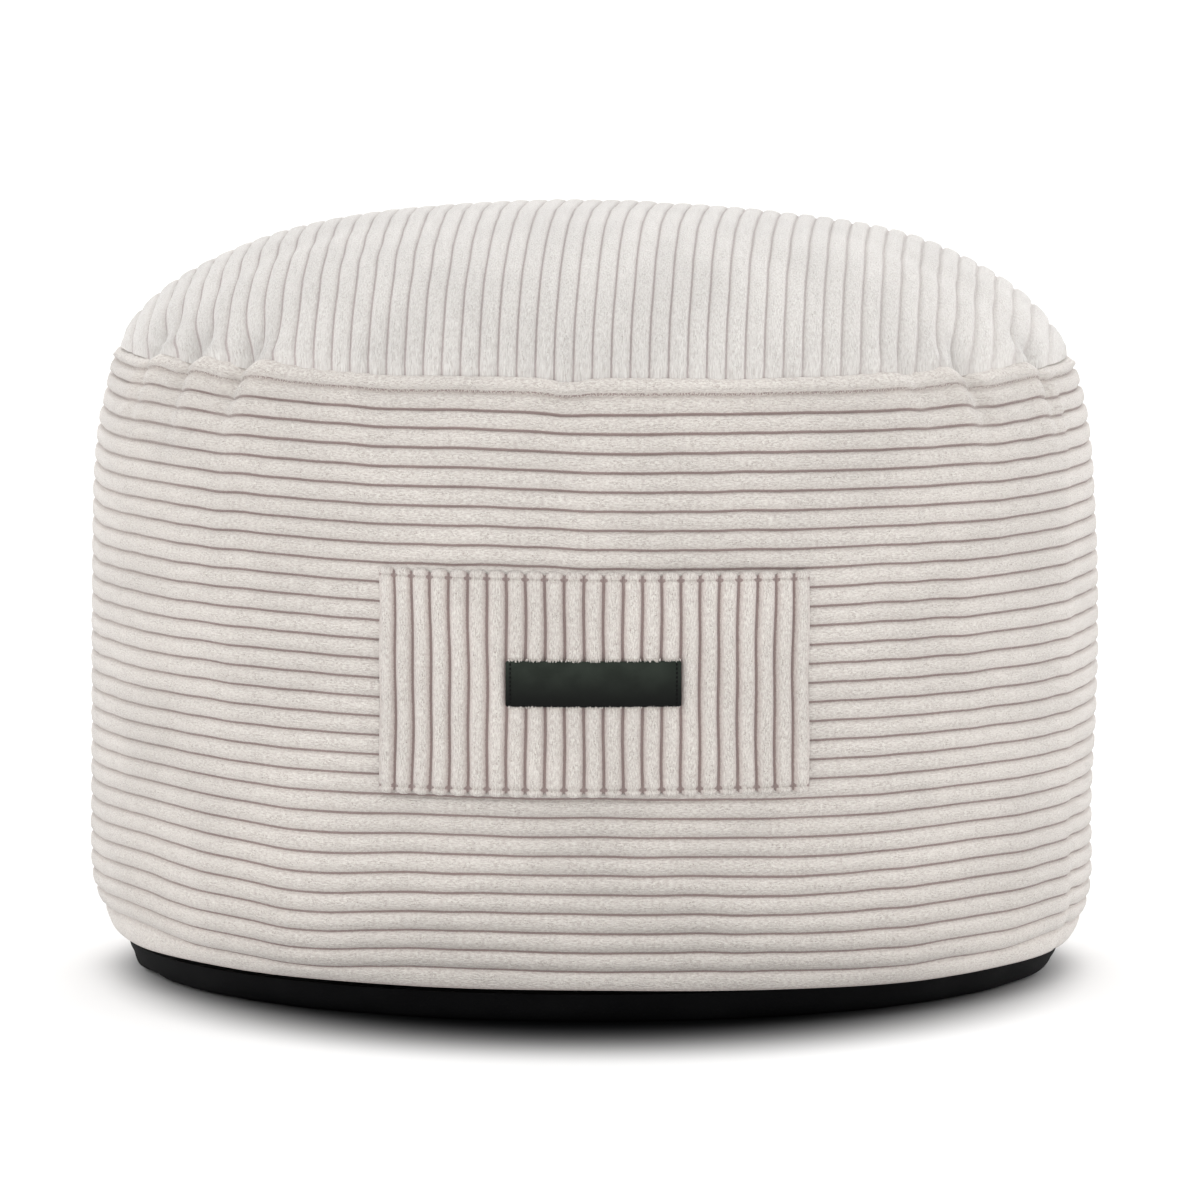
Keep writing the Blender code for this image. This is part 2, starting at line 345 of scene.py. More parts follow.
def pucker_dent(angle, wale, softer=0.0):
    """How deep the creases sink, less how far the cloth beside them stands out."""
    total = np.zeros(np.broadcast(angle, wale).shape)
    for pucker in PUCKERS:
        away = from_crease(angle, wale, pucker)
        crease = PUCKER_DENT * bell((away + DENT_PLACE) / (DENT_WIDTH + softer))
        bulge = PUCKER_BULGE * bell((away - BULGE_PLACE) / BULGE_WIDTH)
        total += pucker[1] * (crease - bulge)
    return total * np.exp(-((wale / 3.0) ** 1.6))


def closed_up(angle, wale):
    """How far a crease closes the grooves up, from 0 to 1."""
    total = np.zeros(np.broadcast(angle, wale).shape)
    for pucker in PUCKERS:
        away = from_crease(angle, wale, pucker)
        total = np.maximum(total, min(pucker[1], 1.0) * bell((away + 0.2) / 2.4))
    return total * bell(wale / 4.0)


def wale_line(wale):
    """Height of a place counted in wales down from the seam."""
    ends = (0, 1, SIDE_WALES - 1, SIDE_WALES)
    upper = (SEAM_HEIGHT, SEAM_HEIGHT - EDGE_WALE)
    lower = (HEM_HEIGHT + EDGE_WALE, HEM_HEIGHT)
    return np.interp(wale, ends, upper + lower)


def eased(share):
    share = limited(share)
    return share * share * (3.0 - 2.0 * share)


def closing_shows(wale):
    """How much the closing seam shows: the wales are well matched half-way down."""
    return 0.2 + 0.8 * np.cos(math.pi * wale / SIDE_WALES) ** 6


def side_lift(angle, wale):
    """How far a wale lies above its even height."""
    down = wale / SIDE_WALES
    line = LINE_RISE - LINE_TILT * np.sin(angle) * (1.0 - 0.35 * down)
    for degrees, width, level, height, sag in SAGS:
        away = degrees_past(angle, degrees) / width
        line = line - sag * bell(away) * bell((down - level) / height)
    past = np.degrees(turned(angle - CLOSING_SEAM))
    step = CLOSING_STEP * closing_shows(wale) * np.tanh(past / 0.8)
    line = line + step * np.exp(-np.abs(past) / 8.0)
    line = line + ROLL_NARROW * bell((wale - 1.0) / 0.9)
    hem = line_rise(angle, HEM_LINE)
    settled = eased(wale / SEAM_WALES)
    ended = eased(wale - (SIDE_WALES - 1))
    lift = line_rise(angle, SEAM_LINE) * (1.0 - settled) + line * settled
    lift = lift + ROLL_NARROW * bell((wale - 1.0) / 0.9) * (1.0 - settled)
    return lift * (1.0 - ended) + hem * ended


def sampled(field, row, angle):
    """A field given at the cage's rows and columns, at any row and angle."""
    rows, columns = field.shape
    column = (turned(angle) + math.pi) / math.tau * columns
    left = np.floor(column).astype(int)
    across = column - left
    row = np.clip(row, 0.0, rows - 1.001)
    low = np.floor(row).astype(int)
    up = row - low

    def on_row(line):
        right = field[line, (left + 1) % columns]
        return field[line, left % columns] * (1 - across) + right * across

    return on_row(low) * (1 - up) + on_row(low + 1) * up


def side_fold(angle, height):
    """How far the simulated folds stand out of the side."""
    if "side" not in folds:
        return 0.0
    row = np.interp(height, (HEM_HEIGHT, SEAM_HEIGHT), (0, SIDE_WALES))
    return sampled(folds["side"], row, angle) * (1.0 - FOLD_CALM * np.sin(angle) ** 8)


def side_radius(angle, height):
    """The side's radius over its wales."""
    lean = np.maximum(0.0, height - WAIST_HEIGHT) / (SEAM_HEIGHT - WAIST_HEIGHT)
    foot = np.maximum(0.0, FOOT_HEIGHT - height) / (FOOT_HEIGHT - HEM_HEIGHT)
    draw = FOOT_DRAW * (1.0 - FOOT_FRONT * bell(turned(angle) / FOOT_FRONT_ANGLE))
    radius = (
        RADIUS
        - LEAN_SOFT * lean**2
        - LEAN_SHARP * lean**8
        - SIDE_LEAN * np.sin(angle) ** 4 * lean**16
        - draw * foot**3.5
        + SWELL * np.cos(3.0 * angle) * np.sin(math.pi * height / SEAM_HEIGHT)
    )
    for level, reach, depth, more in HOLLOWS:
        radius = radius - (depth + more * np.sin(angle)) * bell((height - level) / reach)
    return radius + side_fold(angle, height)


def wale_height(phase, square=WALE_SQUARE):
    """0 in a groove, 1 on a wale's crest."""
    across = np.abs(2.0 * (phase - np.floor(phase)) - 1.0) / WALE_FLOOR
    return np.sqrt(np.maximum(0.0, 1.0 - across**square))


def wale_places(first, last, rows=WALE_ROWS):
    """Places across whole wales, closer together beside the grooves."""
    places = [wale + np.array(rows) for wale in range(first, last)]
    return np.append(np.concatenate(places), last)


def side_columns():
    """Angles round the drum from the closing seam, closer together at the puckers."""
    fine = CLOSING_SEAM + np.linspace(0.0, math.tau, 4001)
    weight = np.ones(4001)
    for degrees, _, side in PUCKERS:
        middle = math.radians(degrees - side * 1.0)
        weight += CLOSE_COLUMNS * bell(turned(fine - middle) / math.radians(4.5))
    total = np.concatenate([[0.0], np.cumsum((weight[1:] + weight[:-1]) / 2)])
    even = np.linspace(0.0, total[-1], SIDE_COLUMNS + 1)
    return np.interp(even, total, fine)


def on_drum(angle, radius, height):
    return np.stack([radius * np.sin(angle), -radius * np.cos(angle), height], axis=-1)


def outward(points, wrap):
    """Unit normals of a grid of points, columns to the right and rows upwards."""
    if wrap:
        ring = points[:, :-1]
        right = np.roll(ring, -1, axis=1) - np.roll(ring, 1, axis=1)
        right = np.concatenate([right, right[:, :1]], axis=1)
    else:
        right = np.gradient(points, axis=1)
    up = np.gradient(points, axis=0)
    normal = np.cross(right, up)
    return normal / np.maximum(np.linalg.norm(normal, axis=-1, keepdims=True), 1e-12)


# ---- meshes


def placed(name, data):
    """A new object in the scene."""
    piece = bpy.data.objects.new(name, data)
    bpy.context.scene.collection.objects.link(piece)
    return piece


def select_only(piece=None):
    bpy.ops.object.select_all(action="DESELECT")
    if piece is not None:
        piece.select_set(True)
        bpy.context.view_layer.objects.active = piece


@contextmanager
def edited(piece):
    """A piece's mesh, open for editing and written back afterwards."""
    shape = bmesh.new()
    shape.from_mesh(piece.data)
    yield shape
    shape.to_mesh(piece.data)
    shape.free()


def grid_piece(name, points, cloth, wrap=False, **fields):
    """A sheet of points, rows upwards and columns to the right, as an object with
    its place on the cloth as UV, and with fields over its points for the finish."""
    rows, columns = points.shape[:2]
    select_only()
    bpy.ops.mesh.primitive_grid_add(
        x_subdivisions=columns - 1, y_subdivisions=rows - 1, size=2.0
    )
    piece = bpy.context.object
    piece.name = name
    mesh = piece.data
    mesh.name = name
    mesh.vertices.foreach_set("co", points.astype(np.float32).ravel())
    corner = np.empty(len(mesh.loops), np.int32)
    mesh.loops.foreach_get("vertex_index", corner)
    layer = mesh.uv_layers.active
    layer.name = "cloth"
    flat = cloth.reshape(-1, 2)[corner]
    layer.uv.foreach_set("vector", flat.astype(np.float32).ravel())
    for field, values in fields.items():
        held = mesh.attributes.new(field, "FLOAT", "POINT")
        held.data.foreach_set("value", values.astype(np.float32).ravel())
    mesh.update()
    if wrap:
        with edited(piece) as shape:
            rim = [v for v in shape.verts if v.is_boundary]
            bmesh.ops.remove_doubles(shape, verts=rim, dist=1e-6)
    return piece


def extruded(shape, edges):
    """The points and the edges that are drawn out of some edges."""
    drawn = bmesh.ops.extrude_edge_only(shape, edges=edges)["geom"]
    points = [item for item in drawn if isinstance(item, bmesh.types.BMVert)]
    return points, [item for item in drawn if isinstance(item, bmesh.types.BMEdge)]


def cap_rims(piece, inset, heights):
    """Closes a piece's open rims, each with a ring drawn inwards, one drawn in as
    far again and a flat face. heights gives the flat face's height, for a lower and
    an upper rim or for one alone, and inset how far each ring is drawn in."""
    middle = (heights[0] + heights[-1]) / 2
    rims = [[] for _ in heights]
    with edited(piece) as shape:
        for edge in shape.edges:
            if edge.is_boundary:
                edge.smooth = False
                upper = len(heights) > 1 and edge.verts[0].co.z > middle
                rims[-1 if upper else 0].append(edge)
        for height, ring in zip(heights, rims):
            for level in (None, height):
                inner, edges = extruded(shape, ring)
                for vertex in inner:
                    reach = math.hypot(vertex.co.x, vertex.co.y)
                    share = (reach - inset) / reach
                    lift = vertex.co.z if level is None else level
                    vertex.co = (vertex.co.x * share, vertex.co.y * share, lift)
                ring = [e for e in edges if e.is_boundary]
            bmesh.ops.contextual_create(shape, geom=ring)
        bmesh.ops.recalc_face_normals(shape, faces=shape.faces)


def sized(piece, size):
    """Gives a new piece its size, and leaves it unscaled."""
    piece.scale = size
    bpy.ops.object.transform_apply(location=False, rotation=False, scale=True)


def finished(piece, material):
    """A piece shaded smooth, with its material."""
    piece.data.shade_smooth()
    piece.data.materials.append(material)
    return piece


# ---- settling


def top_rings():
    """The radii of the cage's rings over the top, from its seam to its middle."""
    share = np.linspace(0.0, 1.0, CAGE_RINGS + 1) ** 1.25
    return TOP_RADIUS + (CAGE_MIDDLE - TOP_RADIUS) * share


def make_cage():
    """A coarse closed cover round the filling, with the puckers in its seam."""
    angle = CAGE_ANGLES[None, :]
    wale = np.arange(SIDE_WALES, -1, -1.0)[:, None]
    height, radius = side_surface(angle, wale)
    side = on_drum(angle + 0 * radius, radius, height)
    reach = top_rings()[1:, None] + 0 * angle
    from_rim = TOP_RADIUS - reach
    rim = line_rise(angle, SEAM_LINE) + pucker_lift(angle, 0.0)
    top = on_drum(
        angle + 0 * reach,
        reach,
        SEAM_HEIGHT + crown(reach) + rim * np.exp(-from_rim / 0.03),
    )
    under = on_drum(angle, np.full_like(angle, 0.05), np.full_like(angle, HEM_HEIGHT))
    points = np.concatenate([under, side, top])
    cage = grid_piece("cage", points, np.zeros((*points.shape[:2], 2)), wrap=True)
    rims = [[], []]
    with edited(cage) as shape:
        for edge in shape.edges:
            if edge.is_boundary:
                rims[edge.verts[0].co.z > SEAM_HEIGHT].append(edge)
        for rim in rims:
            bmesh.ops.contextual_create(shape, geom=rim)
        bmesh.ops.recalc_face_normals(shape, faces=shape.faces)
    return cage, points


def settle(cage, points):
    """Fills the cage by cloth simulation, with its seam, hem and base held, and
    gives how far each of its points moves."""
    find = KDTree(len(cage.data.vertices))
    for vertex in cage.data.vertices:
        find.insert(vertex.co, vertex.index)
    find.balance()
    place = np.array([find.find(point)[1] for point in points.reshape(-1, 3)])
    place = place.reshape(points.shape[:2])
    held = cage.vertex_groups.new(name="held")
    sewn = place[[0, 1, 1 + SIDE_WALES]]
    held.add([int(index) for index in np.unique(sewn)], 1.0, "REPLACE")
    cloth = cage.modifiers.new("Cloth", "CLOTH")
    for setting, value in CLOTH.items():
        setattr(cloth.settings, setting, value)
    cloth.settings.vertex_group_mass = "held"
    cloth.settings.effector_weights.gravity = 0.0
    cloth.point_cache.frame_end = SETTLE_FRAMES
    for step in range(1, SETTLE_FRAMES + 1):
        bpy.context.scene.frame_set(step)
    select_only(cage)
    bpy.ops.object.modifier_apply(modifier="Cloth")
    bpy.context.scene.frame_set(1)
    after = np.empty(len(cage.data.vertices) * 3, np.float32)
    cage.data.vertices.foreach_get("co", after)
    bpy.data.objects.remove(cage)
    return after.reshape(-1, 3)[place] - points


def folds_alone(moved):
    """The folds in a movement: neither the even swelling, which the measured form
    has already, nor the unevenness of single points of the cage."""
    waves_round = np.fft.rfft(moved[:, :-1], axis=1)
    count = np.arange(waves_round.shape[1])
    kept = (1.0 - bell((count / FOLD_WIDEST) ** 2)) * bell((count / FOLD_FINEST) ** 2)
    fold = np.fft.irfft(waves_round * kept, CAGE_COLUMNS, axis=1)
    spread = fold.copy()
    spread[1:-1] = (fold[:-2] + 2 * fold[1:-1] + fold[2:]) / 4
    return np.clip(spread, -FOLD_CAP, FOLD_CAP)


def settle_cover():
    """Runs the simulation and keeps its folds for the side and the top."""
    cage, points = make_cage()
    moved = settle(cage, points)
    outwards = moved[..., 0] * np.sin(CAGE_ANGLES) - moved[..., 1] * np.cos(CAGE_ANGLES)
    seam = 1 + SIDE_WALES
    folds["side"] = folds_alone(outwards[1 : seam + 1])
    folds["top out"] = folds_alone(outwards[seam:])
    folds["top up"] = folds_alone(moved[seam:, :, 2])


# ---- materials


class Nodes:
    """A material's nodes, with short calls for the ones that the finishes share."""

    SOCKETS = {
        "colour": "Base Color",
        "normal": "Normal",
        "roughness": "Roughness",
        "specular": "Specular IOR Level",
        "sheen": "Sheen Weight",
        "sheen_roughness": "Sheen Roughness",
        "sheen_tint": "Sheen Tint",
    }

    def __init__(self, name):
        self.material = bpy.data.materials.new(name)
        self.material.use_nodes = True
        self.tree = self.material.node_tree

    def finish(self, **values):
        """Gives the shader its values, and returns the material."""
        shader = self.tree.nodes["Principled BSDF"]
        for name, value in values.items():
            self.link(value, shader.inputs[self.SOCKETS[name]])
        return self.material

    def link(self, value, socket):
        if isinstance(value, bpy.types.NodeSocket):
            self.tree.links.new(value, socket)
        else:
            socket.default_value = value

    def new(self, kind, inputs=None, **settings):
        node = self.tree.nodes.new("ShaderNode" + kind)
        for key, value in settings.items():
            setattr(node, key, value)
        for key, value in (inputs or {}).items():
            self.link(value, node.inputs[key])
        return node

    def maths(self, operation, first, second=0.0, third=0.0, clamp=False):
        inputs = {0: first, 1: second, 2: third}
        node = self.new("Math", inputs, operation=operation, use_clamp=clamp)
        return node.outputs[0]

    def plus(self, first, second):
        return self.maths("ADD", first, second)

    def times(self, first, second):
        return self.maths("MULTIPLY", first, second)

    def times_plus(self, first, second, third, clamp=False):
        return self.maths("MULTIPLY_ADD", first, second, third, clamp)

    def away(self, value, place=0.0):
        """How far a value lies from a place, on either side."""
        return self.maths("ABSOLUTE", self.maths("SUBTRACT", value, place))

    def vector(self, x, y, z=0.0):
        return self.new("CombineXYZ", {0: x, 1: y, 2: z}).outputs[0]

    def split(self, vector):
        return self.new("SeparateXYZ", {0: vector}).outputs

    def noise(self, vector, scale, detail=2.0, roughness=0.5):
        inputs = {"Vector": vector, "Scale": scale, "Detail": detail, "Roughness": roughness}
        return self.new("TexNoise", inputs).outputs["Fac"]

    def ramp(self, value, low, high, start=0.0, end=1.0):
        inputs = {"Value": value, "From Min": low, "From Max": high}
        inputs |= {"To Min": start, "To Max": end}
        node = self.new("MapRange", inputs, interpolation_type="SMOOTHSTEP")
        return node.outputs["Result"]

    def mix(self, share, first, second):
        inputs = {"Factor": share, 6: first, 7: second}
        return self.new("Mix", inputs, data_type="RGBA").outputs[2]

    def scaled(self, colour, factor):
        inputs = {0: colour, "Scale": factor}
        return self.new("VectorMath", inputs, operation="SCALE").outputs[0]

    def bump(self, height, distance, strength=1.0):
        inputs = {"Height": height, "Distance": distance, "Strength": strength}
        return self.new("Bump", inputs).outputs["Normal"]

    def place(self):
        return self.new("TexCoord").outputs["Object"]

    def field(self, name):
        """One of the fields over a piece's points. A piece without it has 0."""
        return self.new("Attribute", attribute_name=name).outputs["Fac"]

    def cloth_place(self):
        """The place along a wale, in metres, and across the wales, in wales."""
        place = self.new("UVMap", uv_map="cloth")
        return tuple(self.split(place.outputs["UV"]))[:2]

    def grain(self, place, size, detail, roughness=0.5, layer=0.0):
        """Noise over the cloth, with its fineness along and across the wales."""
        along, across = (self.times(way, fine) for way, fine in zip(place, size))
        return self.noise(self.vector(along, across, layer), 1.0, detail, roughness)


# The corduroy's colours: the third is painted shade for the sides of its wales.
SIDE_SHADES = {
    "pale": (0.752, 0.721, 0.672, 1.0),
    "deep": (0.536, 0.483, 0.453, 1.0),
    "flank_painted_shade": (0.478, 0.398, 0.374, 1.0),
    "groove": (0.345, 0.272, 0.256, 1.0),
    "speck": (0.300, 0.235, 0.205, 1.0),
}
# The top's copy of the same corduroy has paler colours, with much paler grooves: painted
# light on the top.
TOP_SHADES = {
    "pale": (0.770, 0.750, 0.718, 1.0),
    "deep": (0.590, 0.556, 0.530, 1.0),
    "flank_painted_shade": (0.560, 0.510, 0.490, 1.0),
    "groove": (0.480, 0.420, 0.410, 1.0),
    "speck": (0.430, 0.375, 0.345, 1.0),
}
# How fine the pile's grain is: per metre along a wale, and per wale across it
TUFT_GRAIN = (1300.0, 9.0)
PILE_GRAIN = (450.0, 14.0)
SPECK_GRAIN = (1100.0, 14.0)
NAP_GRAIN = (14.0, 0.17)
PAINTED_LIGHT_REACH = 0.15  # how much paler painted light makes the cloth where its field is 1
# Where painted light makes the grooves fade: (from, to, share of them left)
SIDE_PAINTED_FILL = (-0.185, -0.248, 0.45)
TOP_PAINTED_FILL = (0.02, 0.20, 0.25)


def corduroy(
    name, shades, groove_edge, flank_painted_shade, stitched=None, droop_and_painted_shade=0.0, sewn=(), painted_fill=None
):
    """Cut pile in wales: pale crests, mauve-brown grooves and painted shade down the
    sides of each wale, with streaks of pile along each wale, dark specks and soft
    patches of turned nap. A stitched groove is closed up to a line of specks. Drooping
    pile shifts the grooves a little, and painted shade darkens each wale towards its
    lower groove. The places where the wales are sewn down pinch them, with painted
    shade over each pinch. Painted light lets the grooves fade between two places left
    or right of the middle, to a given share; they fade too where creases close them
    up. A piece's field of painted light makes it paler above 0, and below 0 paints
    shade."""
    made = Nodes(name)
    cloth_place = made.cloth_place()
    along, across = cloth_place
    wale = made.maths("FLOOR", across)
    phase = made.maths("FRACT", across)
    right = made.split(made.place())[0]
    tufts = made.grain(cloth_place, TUFT_GRAIN, 1.0)
    side = made.maths("ABSOLUTE", made.times_plus(phase, 2.0, droop_and_painted_shade - 1.0))
    frayed = made.plus(side, made.times_plus(tufts, 0.10, -0.05))
    for place in sewn:
        # Painted shade: the groove colour spreads over each stitched pinch.
        pinched = made.ramp(made.away(along, place), 0.0015, 0.0003, 0.0, 0.24)
        frayed = made.plus(frayed, pinched)
    grooves = made.ramp(frayed, groove_edge, groove_edge + 0.05)
    middle = made.ramp(frayed, 0.75, 0.30)
    if stitched is not None:
        unsewn = made.ramp(made.away(across, stitched), 0.16, 0.34)
        broken = made.ramp(tufts, 0.47, 0.54)
        grooves = made.times(grooves, made.maths("MAXIMUM", unsewn, broken))

    streak_rows = made.times_plus(wale, 5.3, made.times(phase, 3.0))
    streaks = made.noise(made.vector(made.times(along, 120.0), streak_rows), 1.0)
    pile = made.grain(cloth_place, PILE_GRAIN, 2.0, 0.75, 3.0)
    specks = made.grain(cloth_place, SPECK_GRAIN, 1.0, 0.5, 9.0)
    nap = made.grain(cloth_place, NAP_GRAIN, 2.0)
    each = made.new("TexWhiteNoise", {"W": wale}, noise_dimensions="1D")

    furrowed = made.times(made.ramp(streaks, 0.38, 0.62), middle)
    contrast = made.times_plus(furrowed, 0.35, 0.65)
    calm = made.ramp(made.away(right), 0.08, 0.23, 1.06, 0.72)
    lifted = made.times(made.maths("SUBTRACT", pile, 0.5), contrast)
    paleness = made.times_plus(made.times(lifted, calm), 4.9, 0.52, clamp=True)
    cloth = made.mix(paleness, shades["deep"], shades["pale"])
    dark_specks = made.times(made.ramp(specks, 0.61, 0.68), furrowed)
    cloth = made.mix(made.times(dark_specks, 0.70), cloth, shades["speck"])
    grooves = made.times(grooves, made.times_plus(made.field("closed"), -0.65, 1.0))
    # Painted light: the grooves fade between two places left or right of the middle.
    if painted_fill is not None:
        start, end, share = painted_fill
        grooves = made.times(grooves, made.ramp(right, start, end, 1.0, share))
    # Painted shade down the sides of each wale, beside its grooves.
    flank_painted_shade_share = made.times(made.ramp(side, 0.30, groove_edge + 0.04), flank_painted_shade)
    cloth = made.mix(flank_painted_shade_share, cloth, shades["flank_painted_shade"])
    cloth = made.mix(grooves, cloth, shades["groove"])
    uneven = made.times_plus(each.outputs["Value"], 0.024, -0.012)
    light = made.plus(made.ramp(nap, 0.3, 0.7, -0.040, 0.050), uneven)
    # Painted shade: each wale darker towards its lower groove.
    light = made.plus(light, made.ramp(phase, 0.3, 1.0, 0.4 * droop_and_painted_shade, -1.5 * droop_and_painted_shade))
    # Painted light and shade from the piece's own field.
    light = made.times_plus(made.field("tone"), PAINTED_LIGHT_REACH, light)
    relief = made.times(pile, made.plus(contrast, 0.3))
    return made.finish(
        colour=made.scaled(cloth, made.plus(light, 1.0)),
        normal=made.bump(relief, 0.0008),
        roughness=made.ramp(streaks, 0.2, 0.8, 0.86, 0.97),
        specular=0.2,
        sheen=0.58,
        sheen_roughness=0.40,
        sheen_tint=(0.97, 0.96, 0.95, 1.0),
    )


def base_cloth():
    """Plain black woven base cloth."""
    made = Nodes("base_cloth")
    place = made.place()
    weave = made.new("TexChecker", {"Vector": place, "Scale": 900.0})
    patches = made.noise(place, 22.0, 3.0)
    dark = (0.0045, 0.0045, 0.005, 1)
    pale = (0.0085, 0.0085, 0.009, 1)
    return made.finish(
        colour=made.mix(made.ramp(patches, 0.3, 0.7), dark, pale),
        normal=made.bump(weave.outputs["Fac"], 0.0002, 0.5),
        roughness=made.ramp(patches, 0.2, 0.8, 0.8, 0.95),
        specular=0.1,
    )


def leather():
    """Black leather with a fine, even grain and a soft gloss, with painted light: paler
    above and darker towards the bottom.
    """
    made = Nodes("leather")
    place = made.place()
    inputs = {"Vector": place, "Scale": 1500.0}
    grain = made.new("TexVoronoi", inputs, feature="DISTANCE_TO_EDGE")
    wear = made.noise(place, 90.0, 4.0)
    dark = (0.0080, 0.0105, 0.0080, 1)
    pale = (0.0130, 0.0165, 0.0130, 1)
    # Painted light: the leather is paler towards the top and darker towards the bottom.
    painted_light_above = made.ramp(made.split(place)[2], tag_low[2], tag_high[2], 0.20, 1.90)
    return made.finish(
        colour=made.scaled(made.mix(made.ramp(wear, 0.3, 0.7), dark, pale), painted_light_above),
        normal=made.bump(grain.outputs["Distance"], 0.00008, 0.6),
        roughness=made.ramp(wear, 0.2, 0.8, 0.42, 0.56),
        specular=0.10,
    )


def thread(name, dark, pale):
    """Sewing thread or tufts of pile, a little uneven in colour."""
    made = Nodes(name)
    fibre = made.noise(made.place(), 1800.0)
    return made.finish(
        colour=made.mix(fibre, dark, pale),
        normal=made.bump(fibre, 0.0001, 0.6),
        roughness=0.75,
        specular=0.1,
    )


# ---- side band


def side_surface(angle, wale):
    """The side's smooth surface over its wales, with puckers and unevenness."""
    even = wale_line(wale)
    lift = side_lift(angle, wale)
    height = even + lift + pucker_lift(angle, wale)
    from_edge = np.minimum(wale, SIDE_WALES - wale)
    radius = side_radius(angle, even + lift * eased(from_edge / 4.0))
    beside = np.sin(angle) ** 4
    tuck = SEAM_TUCK * (1.0 + beside) * limited(1.0 - wale / 0.55) ** 2.2
    rise = ROLL_RISE * (1.0 - 0.75 * beside**3)
    height = height + rise * (wale / 0.13) * np.exp(1.0 - wale / 0.13)
    roll = ROLL_OUT * (1.0 - 0.5 * beside) * bell((wale - 0.58) / 0.32)
    return height, radius + roll - tuck - pucker_dent(angle, wale)


def make_side_cover():
    """The side band: thirty-two wales round the drum."""
    wale = np.union1d(wale_places(0, SIDE_WALES), ROLL_ROWS)[::-1][:, None]
    angle = side_columns()[None, :]
    height, radius = side_surface(angle, wale)
    inner = limited(np.minimum(wale, SIDE_WALES - wale) / 1.5)
    height = height + inner * waves(angle, wale, (18, 60), 0.5, 0.00012)
    height = height + inner * waves(angle, wale, (4, 14), 0.25, 0.00022)
    radius = radius + waves(angle, wale, (5, 16), 0.35, 0.00035)
    sewn = CLOSING_DEPTH * closing_shows(wale)
    radius = radius - sewn * bell(turned(angle - CLOSING_SEAM) / math.radians(0.8))
    base = on_drum(angle + 0 * wale, radius, height)
    normal = outward(base, wrap=True)
    rise = WALE_RISE * (1.0 + waves(angle, wale, (30, 90), 1.5, 0.05))
    hem = limited((SIDE_WALES - wale) / 0.5)
    closed = np.maximum(closed_up(angle, wale), wale > SIDE_WALES - 0.5)
    depth = rise * (1.0 - wale_height(wale)) * (1.0 - 0.5 * closed)
    depth = depth * np.where(wale > SIDE_WALES - 0.5, 0.25, 1.0)
    depth = depth * (1.0 - 0.15 * bell((wale - 1.0) / 0.4)) * limited(wale / 0.35)
    pile = random.normal(0.0, PILE_NOISE, base.shape[:2])
    pile[:, -1] = pile[:, 0]
    base = base - normal * (depth - pile * hem)[..., None]
    base[:, -1] = base[:, 0]
    run = RADIUS * (angle - CLOSING_SEAM) + 0 * wale
    cloth = np.stack([run, wale + 0 * angle], axis=-1)
    # Painted light: the lowest wale and the far left and right of the band are painted
    # paler.
    tone = bell((SIDE_WALES - wale) / 0.7)
    tone = tone + 0.4 * eased((np.abs(np.sin(angle)) - 0.84) / 0.16)
    piece = grid_piece("side_cover", base, cloth, wrap=True, closed=closed, tone=tone)
    cap_rims(piece, CAP_INSET, (HEM_HEIGHT + 0.0006, SEAM_HEIGHT - 0.0020))
    look = {"stitched": 1.0, "droop_and_painted_shade": 0.07, "painted_fill": SIDE_PAINTED_FILL}
    return finished(piece, corduroy("corduroy_side", SIDE_SHADES, 0.84, 0.15, **look))


# ---- top panel


def crown(radius):
    share = limited(radius / TOP_RADIUS)
    rise = np.maximum(0.0, 1.0 - share**CROWN_SQUARE) ** (1.0 / CROWN_EDGE)
    return (CROWN - CROWN_SETTLE) * rise


def top_places():
    """Places across the top panel, from rim to rim."""
    wales = int(TOP_RADIUS / TOP_PITCH) + 1
    places = (wale_places(-wales, wales) + TOP_PHASE) * TOP_PITCH
    inner = places[np.abs(places) < TOP_RADIUS - 0.0007]
    return np.concatenate([[-TOP_RADIUS], inner, [TOP_RADIUS]])


def pinch_towards_creases(angle, from_rim):
    """How far the cloth behind a crease is drawn round towards it."""
    total = np.zeros(angle.shape)
    for degrees, size, side in PUCKERS:
        away = turned(angle - math.radians(degrees))
        behind = side * away < 0
        reach = math.radians(4.0)
        share = np.where(behind, 0.65, 0.35)
        total -= size * share * away * bell(away / reach)
    return total * np.exp(-((from_rim / 0.010) ** 1.5))


def painted_shade_by_pinches(angle, from_rim):
    """How much shade is painted on the top's cloth beside its seam, most beside the puckers.
    """
    total = np.full(angle.shape, 0.2)
    for degrees, size, _ in PUCKERS:
        near = bell(degrees_past(angle, degrees) / 5.0)
        total = np.maximum(total, min(size, 1.0) * near)
    return total * bell(from_rim / 0.011)


